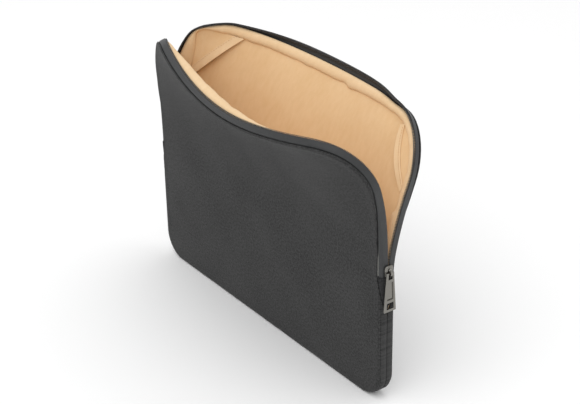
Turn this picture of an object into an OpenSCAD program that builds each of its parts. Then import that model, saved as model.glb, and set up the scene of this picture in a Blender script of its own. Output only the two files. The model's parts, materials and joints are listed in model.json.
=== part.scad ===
// A padded laptop sleeve that stands on its long bottom edge with its zip fully open.
// Two padded panels share a rigid lower part. Above the fold line each panel is a bent flap, and the
// flaps spread to form a bowed mouth. +X runs along the sleeve, the front panel faces -Y, +Z is up,
// and the origin is the centre of the flat bottom face.
//
// A place on a panel is written as flat coordinates [u, v]: u along X from the middle, v up from the
// bottom, as if the panel were laid out flat. A depth is measured inwards from the outer face.

/* [Sleeve] */
// Length of the sleeve along its bottom edge
sleeve_w = 350; // [330:1:370]
// Height of a panel laid out flat
sleeve_h = 266; // [255:1:280]
// Thickness of the closed sleeve over both panels
sleeve_t = 16; // [16:0.5:20]
// Height of the fold line, where the open flaps begin to bend
fold_z = 136; // [134:1:144]
// Radius of the two top corners of a panel
top_r = 55; // [45:1:60]
// Radius of the two bottom corners
bottom_r = 26; // [20:1:32]

/* [Front flap] */
// How far the front flap's left end leans out at the top
front_left = 17; // [12:1:25]
// How far the front flap's right end leans out at the top
front_right = 37; // [25:1:45]
// How far the middle of the front flap bows out past its ends
front_bow = 35; // [20:1:40]
// How much of the front flap's lean is bend (1) and how much is straight tilt (0)
front_curl = 0.97; // [0.6:0.01:1]
// How far the front flap's top edge sags towards +X
front_shift = 16; // [0:1:20]

/* [Back flap] */
// How far the back flap's left end leans out at the top
back_left = 4; // [3:1:15]
// How far the back flap's right end leans out at the top
back_right = 39; // [25:1:45]
// How far the middle of the back flap bows out past its ends
back_bow = 41; // [20:1:45]
// How far the back flap's bow is drawn towards its left end
back_skew = -24; // [-28:1:0]
// How much of the back flap's lean is bend (1) and how much is straight tilt (0)
back_curl = 0.3; // [0.25:0.01:1]
// How far the back flap's top edge sags towards +X
back_shift = 9; // [0:1:20]

/* [Layers] */
// Thickness of the canvas cover
cover_t = 1.2; // [1:0.1:1.4]
// Thickness of the foam padding
foam_t = 3; // [2.5:0.1:3]
// Thickness of the brushed lining
lining_t = 1; // [0.8:0.1:1]
// Thickness of the padded rim that stands on the lining
rim_pad_t = 1.4; // [1:0.1:1.6]
// Width of the padded rim
rim_pad_w = 9.5; // [8:0.5:12]

/* [Zip] */
// Height at which the zip ends and the side seam's tab begins
zip_end_z = 126; // [118:1:128]
// Height at which the end tab tapers into the side seam
tab_end_z = 92; // [80:1:100]
// Length of the slider body
slider_l = 12; // [10:0.5:12]
// Width of the slider body
slider_w = 9.2; // [8:0.2:9.4]
// Length of the pull tab below its pivot
pull_l = 37.5; // [25:0.5:38]
// Width of the pull tab at its bottom
pull_w = 12.8; // [10:0.2:15]

/* [Corner pockets] */
// Where each corner strap starts on the top edge, measured from the side
strap_across = 69; // [60:1:80]
// Where each corner strap ends on the side edge, measured from the top
strap_down = 56; // [50:1:70]
// Width of the strap's folded hem
strap_hem = 7; // [5:0.5:8]

/* [Hidden] */

canvas_c = "#404040";
tape_c = "#4b4f4f";
foam_c = "#8c8c88";
lining_c = "#ddb88a";
hem_c = "#e3c496";
metal_c = "#9a9a92";

front = -1;
back = 1;
half_w = sleeve_w / 2;
half_t = sleeve_t / 2;
flap_l = sleeve_h - fold_z;
fold_gap = 1.2;        // each side of the fold line, so that the flaps can swing
layer_gap = 0.2;       // between the layers of a panel
foam_d = cover_t + layer_gap;
lining_d = foam_d + foam_t + layer_gap;
lining_gap = 0.4;      // from the lining to what is sewn on it
rim_pad_d = lining_d + lining_t + lining_gap;
inner_inset = 5.4;     // foam and lining stop this far inside the edge, clear of the zip
rim_pad_inset = 6.6;
tape_inset = 0.4;
tape_t = 0.6;
tape_d0 = cover_t + 0.1;
tape_d1 = half_t - 1.6;
coil_inset = 1.1;
coil_t = 2;
coil_d0 = half_t - 2.8;
coil_d1 = half_t - 0.8;
binding_t = 0.6;

// ---- The shape of a bent flap ----

// How far the flap leans out at its top edge, at s from -1 (left) to 1 (right)
function lean(side, s) =
    let (c = side == front ? [front_left, front_right, front_bow, 0]
                           : [back_left, back_right, back_bow, back_skew])
    c[0] * (1 - s) / 2 + c[1] * (1 + s) / 2 + (c[2] + c[3] * s) * (1 - s * s);

function curl(side) = side == front ? front_curl : back_curl;
function shift(side) = side == front ? front_shift : back_shift;

// Integral of sqrt(1 - x^2), which turns a length along the bend into a height
function arc_height(x) = (x * sqrt(1 - x * x) + asin(x) * PI / 180) / 2;

// Integral of the squared slope across the flap, which shortens it along X as it bows
function bow_pull(side, s) =
    let (c = side == front ? [front_left, front_right, front_bow, 0]
                           : [back_left, back_right, back_bow, back_skew],
         a = (c[1] - c[0]) / 2 + c[3],
         b = -2 * c[2],
         d = -3 * c[3])
    a * a * s + a * b * s ^ 2 + (b * b + 2 * a * d) * s ^ 3 / 3 + b * d * s ^ 4 / 2 + d * d * s ^ 5 / 5;

// The outer face of a flap at the flat coordinates [u, v]
function face(side, u, v) =
    let (s = u / half_w,
         t = max(0, (v - fold_z) / flap_l),
         k = curl(side),
         rise = (1 - k) * t + k * t * t,
         tilt = lean(side, s) * (1 - k) / flap_l,
         bend = 2 * k * lean(side, s) / flap_l)
    [u - rise * rise / sleeve_w * bow_pull(side, s) + shift(side) * t * t,
     side * (half_t + lean(side, s) * rise),
     fold_z + flap_l * (arc_height(tilt + bend * t) - arc_height(tilt)) / bend];

function unit(v) = v / norm(v);

// The face moved inwards by a depth
function at(side, p, depth) =
    let (e = 0.5,
         across = face(side, p[0] + e, p[1]) - face(side, p[0] - e, p[1]),
         along = face(side, p[0], p[1] + e) - face(side, p[0], max(fold_z, p[1] - e)))
    face(side, p[0], p[1]) + depth * -side * unit(cross(along, across));

// ---- Flat layouts of the flap ----

// Half the flap's width at the height v, for an outline moved in by an inset
function half_width(v, inset) =
    v <= sleeve_h - top_r ? half_w - inset
    : half_w - top_r + sqrt(max(0, (top_r - inset) ^ 2 - (v - sleeve_h + top_r) ^ 2));

flap_z0 = fold_z + fold_gap;
corner_z = sleeve_h - top_r;

// Rows of the flap from the fold up to the top edge, closer together round the corners
function rows(inset, straight = 6, round = 8) = concat(
    [for (i = [0:straight - 1]) flap_z0 + (corner_z - flap_z0) * i / straight],
    [for (i = [0:round]) corner_z + (top_r - inset) * sin(90 * i / round)]);

// A grid over the whole flap
function panel_grid(inset, cols = 24) = [for (v = rows(inset))
    [for (i = [-cols / 2:cols / 2]) [half_width(v, inset) * i * 2 / cols, v]]];

// One line of points round the flap's rim, from the fold on the right to the fold on the left
function rim_line(inset, straight = 8, round = 9, top = 24) =
    let (r = top_r - inset,
         c = half_w - top_r)
    concat(
        [for (i = [0:straight - 1]) [half_w - inset, flap_z0 + (corner_z - flap_z0) * i / straight]],
        [for (i = [0:round - 1]) [c + r * cos(90 * i / round), corner_z + r * sin(90 * i / round)]],
        [for (i = [0:top - 1]) [c - 2 * c * i / top, sleeve_h - inset]],
        [for (i = [0:round - 1]) [-c - r * sin(90 * i / round), corner_z + r * cos(90 * i / round)]],
        [for (i = [0:straight]) [inset - half_w, corner_z - (corner_z - flap_z0) * i / straight]]);

// A grid over a corner strap, from the offset d0 to the offset d1 beyond its hem's free edge. Each
// row is a chord of the circle that the padded rim's inner edge makes round the corner.
function strap_grid(end, d0, d1, n_along = 12, n_across = 4) =
    [for (j = [0:n_across])
        let (d = strap_mid + d0 + (d1 - d0) * j / n_across,
             half = sqrt(strap_r * strap_r - d * d))
        [for (i = [0:n_along])
            let (k = half * (2 * i / n_along - 1))
            [end * (half_w - top_r + to_corner[0] * d + to_corner[1] * k),
             corner_z + to_corner[1] * d - to_corner[0] * k]]];

strap_r = top_r - rim_pad_inset - rim_pad_w - 0.3;
strap_top = [half_w - strap_across, sleeve_h - rim_pad_inset - rim_pad_w];
strap_low = [half_w - rim_pad_inset - rim_pad_w, sleeve_h - strap_down];
to_corner = unit([strap_top[1] - strap_low[1], strap_low[0] - strap_top[0]]);
strap_mid = (strap_top - [half_w - top_r, corner_z]) * to_corner;   // free edge, from the centre
strap_reach = strap_r - strap_mid;                                  // free edge to the padded rim

// ---- Solids between two grids of points ----

function joined(rows) = [for (r = rows) each r];

// A closed solid between an outer and an inner grid of the same size
module slab(outer, inner) {
    n = len(outer);
    m = len(outer[0]);
    k = n * m;
    top = [for (i = [0:n - 2]) for (j = [0:m - 2])
        let (a = i * m + j)
        each [[a, a + 1, a + m], [a + 1, a + m + 1, a + m]]];
    bottom = [for (i = [0:n - 2]) for (j = [0:m - 2])
        let (a = k + i * m + j)
        each [[a, a + m, a + 1], [a + 1, a + m, a + m + 1]]];
    edge = concat(
        [for (j = [0:m - 2]) each [[j, j + k, j + 1], [j + 1, j + k, j + k + 1]]],
        [for (j = [0:m - 2])
            let (a = (n - 1) * m + j)
            each [[a, a + 1, a + k], [a + 1, a + k + 1, a + k]]],
        [for (i = [0:n - 2])
            let (a = i * m)
            each [[a, a + m, a + k], [a + m, a + m + k, a + k]]],
        [for (i = [0:n - 2])
            let (a = i * m + m - 1)
            each [[a, a + k, a + m], [a + m, a + k, a + m + k]]]);
    polyhedron(points = concat(joined(outer), joined(inner)), faces = concat(top, bottom, edge));
}

// The two faces change places on a slab that is built the other way round
module slab_facing(flip, outer, inner) {
    if (flip) slab(inner, outer);
    else slab(outer, inner);
}

// A layer of the whole flap between two depths
module flap_layer(side, inset, d0, d1) {
    grid = panel_grid(inset);
    slab_facing(side == front,
        [for (r = grid) [for (p = r) at(side, p, d0)]],
        [for (r = grid) [for (p = r) at(side, p, d1)]]);
}

// A band round the flap's rim: columns give [inset, depth] on its two faces
module rim_band(side, outer_cols, inner_cols) {
    n = len(rim_line(0)) - 1;
    slab_facing(side == back,
        [for (i = [0:n]) [for (c = outer_cols) at(side, rim_line(c[0])[i], c[1])]],
        [for (i = [0:n]) [for (c = inner_cols) at(side, rim_line(c[0])[i], c[1])]]);
}

module flap_rim_pad(side) {
    a = rim_pad_inset;
    w = rim_pad_w;
    d = rim_pad_d;
    h = rim_pad_t;
    rim_band(side,
        [[a, d], [a + w * 0.3, d], [a + w * 0.7, d], [a + w, d]],
        [[a, d + h * 0.5], [a + w * 0.3, d + h], [a + w * 0.7, d + h], [a + w, d + h * 0.5]]);
}

module flap_zip_tape(side) {
    rim_band(side,
        [[tape_inset, tape_d0], [tape_inset, tape_d1]],
        [[tape_inset + tape_t, tape_d0], [tape_inset + tape_t, tape_d1]]);
}

module flap_zip_coil(side) {
    rim_band(side,
        [[coil_inset, coil_d0], [coil_inset, coil_d1]],
        [[coil_inset + coil_t, coil_d0], [coil_inset + coil_t, coil_d1]]);
}

// A corner strap lies on the back flap's lining, with its corner under the padded rim
module corner_strap(end, d0, d1, depth, thickness) {
    grid = strap_grid(end, d0, d1);
    slab_facing(end < 0,
        [for (r = grid) [for (p = r) at(back, p, depth)]],
        [for (r = grid) [for (p = r) at(back, p, depth + thickness)]]);
}

// ---- Flat shapes of the lower part ----

// The outline of the lower part, moved in by an inset, up to the height top
module lower_outline(inset, top) {
    r = bottom_r - inset;
    translate([inset - half_w, bottom_r]) square([sleeve_w - 2 * inset, top - bottom_r]);
    translate([bottom_r - half_w, inset]) square([sleeve_w - 2 * bottom_r, bottom_r]);
    for (end = [-1, 1])
        translate([end * (half_w - bottom_r), bottom_r]) circle(r = r, $fn = 64);
}

// A flat shape in the XZ plane, from y0 to y1
module plate(y0, y1) {
    translate([0, y1, 0]) rotate([90, 0, 0]) linear_extrude(y1 - y0) children();
}

// A flat shape in the YZ plane, from x0 to x1, on the end of the sleeve
module end_plate(end, x0, x1) {
    mirror([end < 0 ? 1 : 0, 0, 0])
        translate([x0, 0, 0]) rotate([90, 0, 90]) linear_extrude(x1 - x0) children();
}

lower_top = fold_z - fold_gap;

module lower_plate(inset, y0, y1) {
    plate(y0, y1) lower_outline(inset, lower_top);
}

// The zip's opening in the end of the lower part: straight at the top, tapering to the side seam
module end_opening(margin, steps = 8) {
    w = half_t - tape_d0 - margin;
    tip = 0.8 - margin;
    taper = [for (i = [0:steps]) [tip + (w - tip) * sin(90 * i / steps),
                                  tab_end_z + margin + (zip_end_z - tab_end_z) * (1 - cos(90 * i / steps))]];
    polygon(concat(
        [for (p = taper) p],
        [[w, lower_top + 1], [-w, lower_top + 1]],
        [for (i = [steps:-1:0]) [-taper[i][0], taper[i][1]]]));
}

// ---- Lower part ----

module lower_cover() {
    seam = 0.5;
    color(canvas_c) difference() {
        union() {
            lower_plate(1.8, -half_t, half_t);
            lower_plate(0.6, 0.6 - half_t, half_t - 0.6);
            lower_plate(0, 1.8 - half_t, half_t - 1.8);
        }
        plate(cover_t - half_t, half_t - cover_t) lower_outline(cover_t, lower_top + 1);
        for (end = [-1, 1]) {
            end_plate(end, half_w - 4, half_w + 1) end_opening(0);
            end_plate(end, half_w - seam, half_w + 1)
                translate([-seam / 2, bottom_r + 2]) square([seam, tab_end_z - bottom_r - 3]);
        }
    }
}

module padding_lower(side) {
    y = side * (half_t - foam_d);
    color(foam_c) lower_plate(inner_inset, min(y, y - side * foam_t), max(y, y - side * foam_t));
}

module lining_lower() {
    y = half_t - lining_d;
    color(lining_c) difference() {
        lower_plate(inner_inset, -y, y);
        plate(lining_t - y, y - lining_t) lower_outline(inner_inset + lining_t, lower_top + 1);
        for (end = [-1, 1])
            end_plate(end, half_w - 12, half_w) translate([-half_t, zip_end_z - 2]) square([sleeve_t, 40]);
    }
}

module rim_pad_lower(side) {
    y0 = half_t - rim_pad_d;
    y1 = y0 - rim_pad_t;
    color(hem_c) difference() {
        lower_plate(rim_pad_inset, side < 0 ? -y0 : y1, side < 0 ? -y1 : y0);
        plate(-half_t, half_t) lower_outline(rim_pad_inset + rim_pad_w, lower_top + 1);
    }
}

module bottom_seam_binding() {
    l = sleeve_w - 2 * bottom_r - 8;
    color(tape_c) translate([-l / 2, -3, cover_t + layer_gap]) cube([l, 6, binding_t]);
}

module side_seam_binding(end) {
    x = half_w - cover_t - layer_gap;
    color(tape_c) end_plate(end, x - binding_t, x)
        translate([-3, bottom_r + 4]) square([6, tab_end_z - bottom_r - 10]);
}

// A folded fabric tab covers the end of the zip and tapers into the side seam
module zip_end_tab(end) {
    color(canvas_c) end_plate(end, half_w - 1, half_w + 0.4) intersection() {
        end_opening(0.15);
        translate([-half_t, 0]) square([sleeve_t, zip_end_z]);
    }
}

module zip_tape_lower(end) {
    x = half_w - tape_inset;
    h = lower_top - zip_end_z - layer_gap;
    color(tape_c) for (side = [-1, 1])
        end_plate(end, x - tape_t, x)
            translate([side < 0 ? tape_d0 - half_t : half_t - tape_d1, zip_end_z + layer_gap])
                square([tape_d1 - tape_d0, h]);
}

module zip_coil_lower(end) {
    x = half_w - coil_inset;
    color("#2c2c2e") for (side = [-1, 1])
        end_plate(end, x - coil_t, x)
            translate([side < 0 ? coil_d0 - half_t : half_t - coil_d1, zip_end_z])
                square([coil_d1 - coil_d0, lower_top - zip_end_z]);
}

// A small crimped stop under each end tab keeps the slider on the zip
module zip_end_stops() {
    color(metal_c) for (end = [-1, 1])
        end_plate(end, half_w - 3.4, half_w - 1.2)
            translate([-2.6, zip_end_z - 3.2]) square([5.2, 3]);
}

// ---- Flaps ----

module front_cover_upper() { color(canvas_c) flap_layer(front, 0, 0, cover_t); }
module front_padding_upper() { color(foam_c) flap_layer(front, inner_inset, foam_d, foam_d + foam_t); }
module front_lining_upper() { color(lining_c) flap_layer(front, inner_inset, lining_d, lining_d + lining_t); }
module front_rim_pad_upper() { color(hem_c) flap_rim_pad(front); }
module front_zip_tape() { color(tape_c) flap_zip_tape(front); }
module front_zip_coil() { color("#2c2c2e") flap_zip_coil(front); }

module back_cover_upper() { color(canvas_c) flap_layer(back, 0, 0, cover_t); }
module back_padding_upper() { color(foam_c) flap_layer(back, inner_inset, foam_d, foam_d + foam_t); }
module back_lining_upper() { color(lining_c) flap_layer(back, inner_inset, lining_d, lining_d + lining_t); }
module back_rim_pad_upper() { color(hem_c) flap_rim_pad(back); }
module back_zip_tape() { color(tape_c) flap_zip_tape(back); }
module back_zip_coil() { color("#2c2c2e") flap_zip_coil(back); }

strap_d = lining_d + lining_t + lining_gap;
strap_t = 0.8;
module strap(end) { color(lining_c) corner_strap(end, strap_hem + 0.2, strap_reach - 0.5, strap_d, strap_t); }
module strap_fold(end) { color(hem_c) corner_strap(end, 0, strap_hem, strap_d, strap_t * 1.8); }

// ---- Slider and pull ----

slide_travel = 6;
slider_z = zip_end_z + 0.5;
bail_z = slider_z + slider_l / 2;
plate_x = half_w + 0.4;    // underside of the slider's outer plate
plate_t = 1;
bail_r = 3.6;
wire_r = 0.8;
pivot_x = plate_x + plate_t + 1.5;
pivot_z = bail_z - 0.8;

// The shield-shaped outline of the slider's two plates, wide end up
module slider_outline() {
    w = slider_w / 2;
    translate([-w, slider_z + 3]) square([slider_w, slider_l - 5]);
    translate([2 - w, slider_z]) square([slider_w - 4, slider_l]);
    for (s = [-1, 1]) {
        translate([s * (w - 2), slider_z + slider_l - 2]) circle(r = 2, $fn = 32);
        translate([s * (w - 3), slider_z + 3]) circle(r = 3, $fn = 48);
    }
}

module slider_body() {
    inner_x = half_w - coil_inset - coil_t - 0.4;
    color(metal_c) {
        end_plate(1, plate_x, plate_x + plate_t) slider_outline();
        end_plate(1, inner_x - plate_t, inner_x) slider_outline();
        // The wedge that parts the two coils joins the plates
        translate([inner_x - 0.1, -0.45, slider_z + slider_l - 5])
            cube([plate_x - inner_x + 0.2, 0.9, 4]);
    }
}

module slider_bail() {
    color(metal_c) translate([plate_x + plate_t, 0, bail_z]) rotate([90, 0, 0])
        rotate([0, 0, -90]) rotate_extrude(angle = 180, $fn = 64)
            translate([bail_r, 0]) circle(r = wire_r, $fn = 24);
}

// A flat pull with an eye round the bail and a window near its free end
module pull_tab() {
    top_w = 7.6;
    eye_w = 4;
    eye_l = 5;
    t = 1.6;
    bottom_z = pivot_z - pull_l;
    window_z = bottom_z + 3;
    color(metal_c) {
        difference() {
            end_plate(1, pivot_x - t / 2, pivot_x + t / 2)
                polygon([[-top_w / 2, pivot_z], [top_w / 2, pivot_z],
                         [pull_w / 2, bottom_z], [-pull_w / 2, bottom_z]]);
            translate([pivot_x, 0, pivot_z - wire_r - eye_l / 2])
                cube([3 * t, eye_w, eye_l], center = true);
            translate([pivot_x, 0, window_z + 3]) cube([3 * t, pull_w - 7, 6], center = true);
            translate([pivot_x - t, -eye_w, pivot_z]) cube([2 * t, 2 * eye_w, 2]);
        }
        translate([pivot_x, 0, pivot_z]) rotate([90, 0, 0])
            cylinder(r = wire_r, h = top_w, center = true, $fn = 32);
    }
}

lower_cover();
padding_lower(front);  // front_padding_lower
padding_lower(back);  // back_padding_lower
lining_lower();
rim_pad_lower(front);  // front_rim_pad_lower
rim_pad_lower(back);  // back_rim_pad_lower
bottom_seam_binding();
side_seam_binding(1);  // side_seam_binding_right
side_seam_binding(-1);  // side_seam_binding_left
zip_end_tab(1);  // zip_end_tab_right
zip_end_tab(-1);  // zip_end_tab_left
zip_tape_lower(1);  // zip_tape_lower_right
zip_tape_lower(-1);  // zip_tape_lower_left
zip_coil_lower(1);  // zip_coil_lower_right
zip_coil_lower(-1);  // zip_coil_lower_left
zip_end_stops();
front_cover_upper();
front_padding_upper();
front_lining_upper();
front_rim_pad_upper();
front_zip_tape();
front_zip_coil();
back_cover_upper();
back_padding_upper();
back_lining_upper();
back_rim_pad_upper();
back_zip_tape();
back_zip_coil();
strap(-1);  // corner_strap_left
strap(1);  // corner_strap_right
strap_fold(-1);  // corner_hem_left
strap_fold(1);  // corner_hem_right
slider_body();
slider_bail();
pull_tab();
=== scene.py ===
# %% [markdown]
# # A padded laptop sleeve, standing open
#
# The sleeve is two padded panels with a zip sewn round three sides. It stands on its long bottom
# edge with the zip fully open, so its upper half spreads into two bowed flaps. Each soft piece is
# cut flat here, as a maker cuts cloth, and is then laid on the bent panel by one function. That
# keeps every layer at its true distance from the next one, and lets the weave follow the cloth.
#
# Lengths in this file are in millimetres. They turn to metres only where a mesh is finished.

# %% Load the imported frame
import json
import math

import bmesh
import bpy
import numpy as np
from mathutils import Matrix, Vector, noise


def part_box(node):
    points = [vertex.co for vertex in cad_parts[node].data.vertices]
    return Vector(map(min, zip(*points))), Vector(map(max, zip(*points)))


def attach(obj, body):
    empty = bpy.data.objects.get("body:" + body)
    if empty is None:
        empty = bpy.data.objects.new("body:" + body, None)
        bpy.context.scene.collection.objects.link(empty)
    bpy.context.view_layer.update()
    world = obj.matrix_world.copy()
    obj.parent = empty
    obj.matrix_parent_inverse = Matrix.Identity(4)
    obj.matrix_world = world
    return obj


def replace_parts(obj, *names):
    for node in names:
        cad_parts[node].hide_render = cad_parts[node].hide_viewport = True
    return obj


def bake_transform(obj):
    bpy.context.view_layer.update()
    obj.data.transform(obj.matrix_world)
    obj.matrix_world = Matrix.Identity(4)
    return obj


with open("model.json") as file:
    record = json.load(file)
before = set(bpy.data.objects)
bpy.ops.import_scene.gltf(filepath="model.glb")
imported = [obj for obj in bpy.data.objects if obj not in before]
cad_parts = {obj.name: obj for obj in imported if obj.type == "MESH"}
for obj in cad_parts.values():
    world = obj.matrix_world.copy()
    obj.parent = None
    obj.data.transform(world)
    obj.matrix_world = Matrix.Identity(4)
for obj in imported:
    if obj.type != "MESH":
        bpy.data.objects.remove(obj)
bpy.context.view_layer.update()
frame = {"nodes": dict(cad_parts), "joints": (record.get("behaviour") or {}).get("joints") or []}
MM = 0.001

# %% [markdown]
# ## Sizes from the frame
#
# The lower cover gives the sleeve's length, thickness and fold line, and the slider and the pull
# give their own places. What the frame can't say, such as the radius of a corner, is named here.

# %% Driving sizes


def box_mm(node):
    """A node's lowest and highest corner in millimetres."""
    low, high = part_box(node)
    return low / MM, high / MM


cover_low, cover_high = box_mm("lower_cover")
FOLD_GAP = 1.2  # from the top of the lower cover to the fold line
HALF_W = (cover_high.x - cover_low.x) / 2
HALF_T = (cover_high.y - cover_low.y) / 2
FOLD = cover_high.z + FOLD_GAP
PANEL_H = 266.0  # height of a panel laid flat
TOP_R = 55.0  # radius of its upper corners
BOTTOM_R = 26.0  # radius of its lower corners
FLAP_L = PANEL_H - FOLD
ZIP_END = box_mm("zip_end_tab_right")[1].z
TAB_END = box_mm("zip_end_tab_right")[0].z
print(f"sleeve {2 * HALF_W:.0f} x {PANEL_H:.0f} x {2 * HALF_T:.0f} mm, fold at {FOLD:.0f} mm")

# %% [markdown]
# ## The bent flap as a formula
#
# A real flap leans out at both ends, bows out in the middle and curls over towards its top edge.
# The cloth doesn't stretch, so height is found by adding up the slope along the cloth: what it
# spends on leaning out it loses in height. The front flap curls, and the back one mostly tilts.

# %% How each flap leans, bows and curls
# left, right and bow are how far the top edge leans out there, in mm. skew moves the bow to one
# side, curl is the share of the lean that grows with height, and shift moves the top to the right.
FLAPS = {
    "front": {"side": -1, "left": 17, "right": 37, "bow": 35, "skew": 0, "curl": 0.97, "shift": 16},
    "back": {"side": 1, "left": 4, "right": 39, "bow": 41, "skew": -24, "curl": 0.3, "shift": 9},
}
FOLD_SOFTNESS = 0.09  # how gently the cloth starts to bend at the fold, as a share of the flap
UPRIGHT_TO = 40.0  # the panels stand straight up to this height
GAUSS_X, GAUSS_W = np.polynomial.legendre.leggauss(16)


def lean(flap, s):
    """How far the flap's top edge leans out, at s from -1 on the left to 1 on the right."""
    bow = (flap["bow"] + flap["skew"] * s) * (1 - s * s)
    return flap["left"] * (1 - s) / 2 + flap["right"] * (1 + s) / 2 + bow


def soft_start(t):
    """t above the fold and 0 below it, with a rounded corner between."""
    return (t + np.sqrt(t * t + FOLD_SOFTNESS**2)) / 2


def rise(flap, t):
    """The share of the lean that is reached at t, from 0 at the fold to 1 at the top."""
    soft = soft_start(t)
    return (1 - flap["curl"]) * soft + flap["curl"] * soft**2


def slope(flap, s, v):
    """How steeply the cloth leans out at the height v."""
    t = (v - FOLD) / FLAP_L
    softened = (1 + t / np.sqrt(t * t + FOLD_SOFTNESS**2)) / 2
    turn = (1 - flap["curl"]) + 2 * flap["curl"] * soft_start(t)
    return np.clip(lean(flap, s) * turn * softened / FLAP_L, -0.99, 0.99)


def height(flap, s, v):
    """Height above the ground of a point v up the cloth."""
    span = np.maximum(v - UPRIGHT_TO, 0)
    total = np.zeros_like(v)
    for x, w in zip(GAUSS_X, GAUSS_W):
        total += w / 2 * np.sqrt(1 - slope(flap, s, UPRIGHT_TO + span * (x + 1) / 2) ** 2)
    return np.minimum(v, UPRIGHT_TO) + total * span


def bow_pull(flap, s):
    """How much the bow draws a point in along X: the integral of the squared slope across."""
    a = (flap["right"] - flap["left"]) / 2 + flap["skew"]
    b = -2 * flap["bow"]
    c = -3 * flap["skew"]
    return (a * a * s + a * b * s**2 + (b * b + 2 * a * c) * s**3 / 3
            + b * c * s**4 / 2 + c * c * s**5 / 5)


print("the front leans out", lean(FLAPS["front"], 0.0), "mm in the middle of its top edge")

# %% How the back flap's corners are set


def hill(u, v, at, size):
    """A smooth hill of height 1 at a flat place, with its size across and up."""
    return np.exp(-((u - at[0]) / size[0]) ** 2 - ((v - at[1]) / size[1]) ** 2)


# The back flap's corners don't lie quite as cut. Each row has the place and the size of a set in
# the flat pattern, and how far the cloth moves to the right and up there.
BACK_SETS = [
    ((-175, 214), (45, 26), 5.0, 0.0),  # the left side is drawn in
    ((-160, 251), (15, 15), -2.5, 2.5),  # the left corner is a little squarer than cut
    ((122, 262), (22, 18), 0.0, -3.5),  # the top is pulled down before the right corner
]


def corner_set(u, v):
    """Sideways and upward set of the back flap at a flat place."""
    hills = [hill(u, v, at, size) for at, size, _, _ in BACK_SETS]
    sideways = sum(row[2] * h for row, h in zip(BACK_SETS, hills))
    upward = sum(row[3] * h for row, h in zip(BACK_SETS, hills))
    return sideways, upward


print(f"{len(BACK_SETS)} sets shape the back flap's corners")

# %% Laying a flat place on the bent panel


def face_at(flap, u, v):
    """The outer face of a panel at the flat place u, v."""
    s = u / HALF_W
    t = (v - FOLD) / FLAP_L
    x = u - rise(flap, t) ** 2 / (2 * HALF_W) * bow_pull(flap, s) + flap["shift"] * soft_start(t) ** 2
    y = flap["side"] * (HALF_T + lean(flap, s) * rise(flap, t))
    z = height(flap, s, v)
    if flap["side"] > 0:
        sideways, upward = corner_set(u, v)
        x, z = x + sideways, z + upward
    return np.stack([x, y, z], axis=1)


def lay(flap, u, v, depth):
    """Points of the panel in the frame: flat place u, v and depth inwards from the outer face."""
    feel = 0.5  # millimetres to each side, to find which way the surface faces
    across = face_at(flap, u + feel, v) - face_at(flap, u - feel, v)
    along = face_at(flap, u, v + feel) - face_at(flap, u, v - feel)
    inward = np.cross(along, across) * -flap["side"]
    inward /= np.linalg.norm(inward, axis=1)[:, None]
    return face_at(flap, u, v) + inward * depth[:, None]


for flap_name, flap in FLAPS.items():
    top = face_at(flap, np.array([0.0]), np.array([PANEL_H]))[0]
    print(f"{flap_name}: top middle at y {top[1]:.0f}, z {top[2]:.0f} mm")

# %% [markdown]
# ## Flat patterns
#
# Two kinds of cut make nearly everything. A panel is a grid whose outline is a rounded rectangle.
# A strip, such as the zip tape, is a long grid that is sewn round the panel's rim. Each could be
# modelled where it lies, but it is drawn flat with bmesh operators, and `on_panel` or `sew_along`
# then puts it in place, so that its size is the size of the cut cloth.

# %% How far in a place is, and which way is out


def corner_of(v):
    """Corner radius and centre height that hold at the height v."""
    upper = v > PANEL_H / 2
    radius = np.where(upper, TOP_R, BOTTOM_R)
    return radius, np.where(upper, PANEL_H - TOP_R, BOTTOM_R)


def outward(u, v):
    """Unit direction out of the panel's outline, in the flat, at a place near the outline."""
    radius, centre = corner_of(v)
    dx = np.abs(u) - (HALF_W - radius)
    dz = np.where(v > PANEL_H / 2, v - centre, centre - v)
    in_corner = (dx > 0) & (dz > 0)
    to_side = (HALF_W - np.abs(u)) < np.where(v > PANEL_H / 2, PANEL_H - v, v)
    x = np.where(in_corner, dx, np.where(to_side, 1.0, 0.0)) * np.sign(u)
    z = np.where(in_corner, dz, np.where(to_side, 0.0, 1.0)) * np.where(v > PANEL_H / 2, 1.0, -1.0)
    size = np.maximum(np.hypot(x, z), 1e-9)
    return x / size, z / size


def inset_of(u, v):
    """How far inside the outline a place is."""
    radius, centre = corner_of(v)
    dx = np.abs(u) - (HALF_W - radius)
    dz = np.where(v > PANEL_H / 2, v - centre, centre - v)
    in_corner = (dx > 0) & (dz > 0)
    straight = np.minimum(HALF_W - np.abs(u), np.where(v > PANEL_H / 2, PANEL_H - v, v))
    return np.where(in_corner, radius - np.hypot(dx, dz), straight)


middle_inset = inset_of(np.array([0.0]), np.array([PANEL_H / 2]))[0]
print(f"the middle of a panel is {middle_inset:.0f} mm in from its outline")

# %% Places along the rim


def rim_place(a, inset):
    """The flat place a along the rim from the right end of the zip, moved in by an inset."""
    side = PANEL_H - TOP_R - ZIP_END
    quarter = math.pi / 2 * TOP_R
    top = 2 * (HALF_W - TOP_R)
    ends = np.cumsum([side, quarter, top, quarter])
    r = TOP_R - inset
    turn1 = (a - ends[0]) / TOP_R
    turn2 = (a - ends[2]) / TOP_R
    c, z = HALF_W - TOP_R, PANEL_H - TOP_R
    choices = [a < ends[0], a < ends[1], a < ends[2], a < ends[3]]
    u = np.select(choices, [HALF_W - inset, c + r * np.cos(turn1), c - (a - ends[1]),
                            -c - r * np.sin(turn2)], inset - HALF_W)
    v = np.select(choices, [ZIP_END + a, z + r * np.sin(turn1), PANEL_H - inset + 0 * a,
                            z + r * np.cos(turn2)], z - (a - ends[3]))
    return u, v


ZIP_LENGTH = 2 * (PANEL_H - TOP_R - ZIP_END) + math.pi * TOP_R + 2 * (HALF_W - TOP_R)
print(f"the zip runs {ZIP_LENGTH:.0f} mm round the mouth")

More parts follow.
